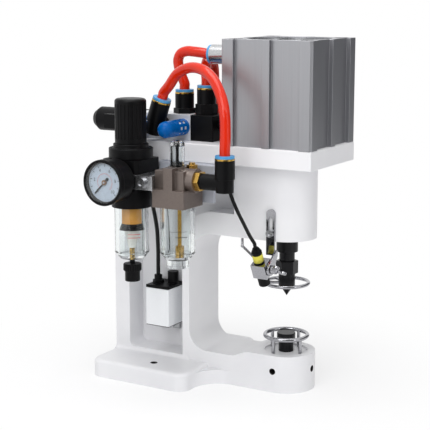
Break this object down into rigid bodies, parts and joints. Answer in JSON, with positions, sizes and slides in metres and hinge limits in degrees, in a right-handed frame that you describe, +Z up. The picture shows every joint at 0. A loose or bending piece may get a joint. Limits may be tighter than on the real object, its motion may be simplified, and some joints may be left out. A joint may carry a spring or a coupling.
{
  "type": "pneumatic button attaching machine",
  "caption": "Bench pneumatic press for attaching snap buttons: cast C-frame, square air cylinder, guided ram, upper and lower dies, air preparation unit, solenoid valve and spot lamp.",
  "frame": {"origin": "on the table plane under the die axis", "axes": "+Z up, -Y towards the operator, -X towards the air preparation unit"},
  "size_m": [0.202, 0.258, 0.338],
  "materials": {
    "white_paint": "semi-gloss enamel",
    "alloy": "anodised extrusion",
    "steel": "zinc plated",
    "grey_steel": "grey painted sheet",
    "chrome": "polished",
    "black_steel": "black oxide",
    "brass": "turned",
    "black_plastic": "fine grain",
    "blue_plastic": "moulded",
    "clear_plastic": "clear moulded",
    "dial_white": "matt white",
    "amber_sinter": "sintered",
    "taupe_paint": "metallic paint",
    "white_plastic": "moulded",
    "red_tube": "smooth tube",
    "black_rubber": "matt"
  },
  "bodies": {
    "press": {"frame_casting": "white_paint", "top_plate": "white_paint", "cap_screws": "steel", "cylinder_barrel": "alloy", "cylinder_cover": "black_steel", "rod_cover": "alloy", "retaining_rings": "steel", "cylinder_bolts": "black_steel", "guide_bush": "brass", "lower_die": "black_steel", "lower_guard_ring": "chrome", "set_screws": "black_steel", "air_unit_bracket": "grey_steel", "module_clamp": "steel", "regulator_body": "black_plastic", "regulator_bonnet": "black_plastic", "gauge_case": "black_plastic", "gauge_dial": "dial_white", "gauge_lens": "clear_plastic", "filter_bowl": "clear_plastic", "filter_element": "amber_sinter", "filter_baffle": "black_plastic", "lubricator_body": "taupe_paint", "sight_dome": "clear_plastic", "filler_plug": "brass", "lubricator_bowl": "clear_plastic", "siphon_tube": "brass", "outlet_nipple": "brass", "valve_body": "alloy", "valve_end_cap": "black_plastic", "valve_coil": "black_plastic", "silencers": "blue_plastic", "elbow_fittings": "black_plastic", "straight_fittings": "black_plastic", "release_collars": "blue_plastic", "supply_tube": "red_tube", "advance_tube": "red_tube", "return_tube": "red_tube", "junction_box": "white_plastic", "box_lid": "black_plastic", "coil_cable": "black_rubber", "lamp_cable": "black_rubber"},
    "ram_group": {"piston": "alloy", "piston_seal": "black_rubber", "piston_rod": "steel", "ram": "black_steel", "lock_nut": "black_steel", "upper_die": "black_steel", "upper_guard_ring": "chrome"},
    "pressure_screw": {"adjusting_screw": "steel"},
    "pressure_knob": {"regulator_knob": "black_plastic"},
    "needle": {"gauge_needle": "black_plastic"},
    "drain": {"drain_knob": "black_plastic"},
    "oil_adjuster": {"oil_screw": "black_plastic"},
    "override": {"override_button": "blue_plastic"},
    "spool": {"valve_spool": "steel"},
    "lamp_arm": {"lamp_bar": "chrome"},
    "wing": {"wing_screw": "chrome"},
    "lamp": {"lamp_clamp": "chrome", "lamp_body": "black_plastic"}
  },
  "joints": [
    {"name": "ram_slide", "type": "slide", "parent": "press", "child": "ram_group", "axis": [0, 0, -1], "range_m": [0, 0.035]},
    {"name": "knob_turn", "type": "hinge", "parent": "press", "child": "pressure_screw", "pos_m": [-0.08, 0.126, 0.25], "axis": [0, 0, 1], "range_deg": [0, 1080]},
    {"name": "knob_lift", "type": "slide", "parent": "pressure_screw", "child": "pressure_knob", "axis": [0, 0, 1], "range_m": [0, 0.003]},
    {"name": "needle_turn", "type": "hinge", "parent": "press", "child": "needle", "pos_m": [-0.123, 0.126, 0.208], "axis": [1, 0, 0], "range_deg": [0, 270], "stiffness_Nm_per_rad": 0.0002},
    {"name": "drain_turn", "type": "hinge", "parent": "press", "child": "drain", "pos_m": [-0.08, 0.126, 0.12], "axis": [0, 0, 1], "range_deg": [0, 90]},
    {"name": "oil_screw_turn", "type": "hinge", "parent": "press", "child": "oil_adjuster", "pos_m": [-0.08, 0.074, 0.24], "axis": [0, 0, 1], "range_deg": [0, 720]},
    {"name": "override_push", "type": "slide", "parent": "press", "child": "override", "axis": [0, 0, -1], "range_m": [0, 0.0015], "stiffness_N_per_m": 400},
    {"name": "spool_shift", "type": "slide", "parent": "press", "child": "spool", "axis": [0, -1, 0], "range_m": [0, 0.004], "stiffness_N_per_m": 500},
    {"name": "lamp_bar_slide", "type": "slide", "parent": "press", "child": "lamp_arm", "axis": [0, 0, -1], "range_m": [0, 0.012], "deforming": ["lamp_cable"]},
    {"name": "lamp_tilt", "type": "hinge", "parent": "lamp_arm", "child": "lamp", "pos_m": [-0.041, 0, 0.125], "axis": [0, 1, 0], "range_deg": [0, 25], "deforming": ["lamp_cable"]},
    {"name": "wing_screw_turn", "type": "hinge", "parent": "lamp_arm", "child": "wing", "pos_m": [-0.041, 0, 0.125], "axis": [0, -1, 0], "range_deg": [0, 360]}
  ]
}
